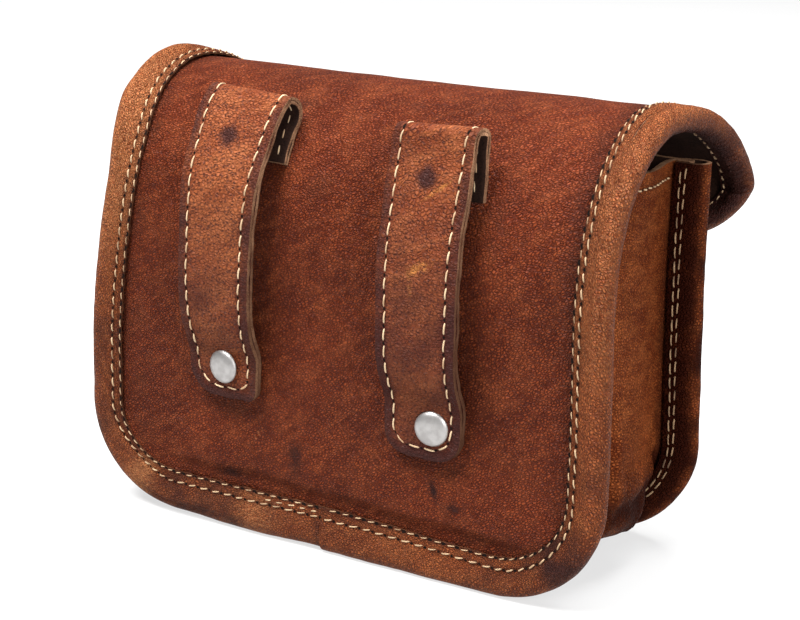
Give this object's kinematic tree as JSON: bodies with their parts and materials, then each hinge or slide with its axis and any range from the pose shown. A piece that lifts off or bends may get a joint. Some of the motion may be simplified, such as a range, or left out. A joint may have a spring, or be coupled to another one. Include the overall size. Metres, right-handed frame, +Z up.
{
  "type": "leather belt bag",
  "caption": "Small leather belt bag with a fold-over flap, rolled bound edges, a gathered gusset, and doubled straps on the back that a waist belt runs behind.",
  "frame": {"origin": "on the surface the bag stands on, under the middle of its bounding box", "axes": "+X along the bag's width, +Y out of the back towards the belt loops, +Z up; the flap faces -Y"},
  "size_m": [0.1472, 0.0874, 0.1159],
  "materials": {
    "panel_leather": "oiled, reddish brown, fine pebbled grain",
    "binding_leather": "oiled, tan brown, mottled",
    "strap_leather": "oiled, mid brown, dark worn edges",
    "nickel": "satin nickel plate"
  },
  "bodies": {
    "root": {"back_panel": "panel_leather", "panel_binding": "binding_leather", "front_panel": "panel_leather", "front_binding": "binding_leather", "gusset": "binding_leather", "belt_loop_left": "strap_leather", "belt_loop_right": "strap_leather", "loop_rivet_left": "nickel", "loop_rivet_right": "nickel", "flap_snap": "nickel"}
  },
  "joints": []
}
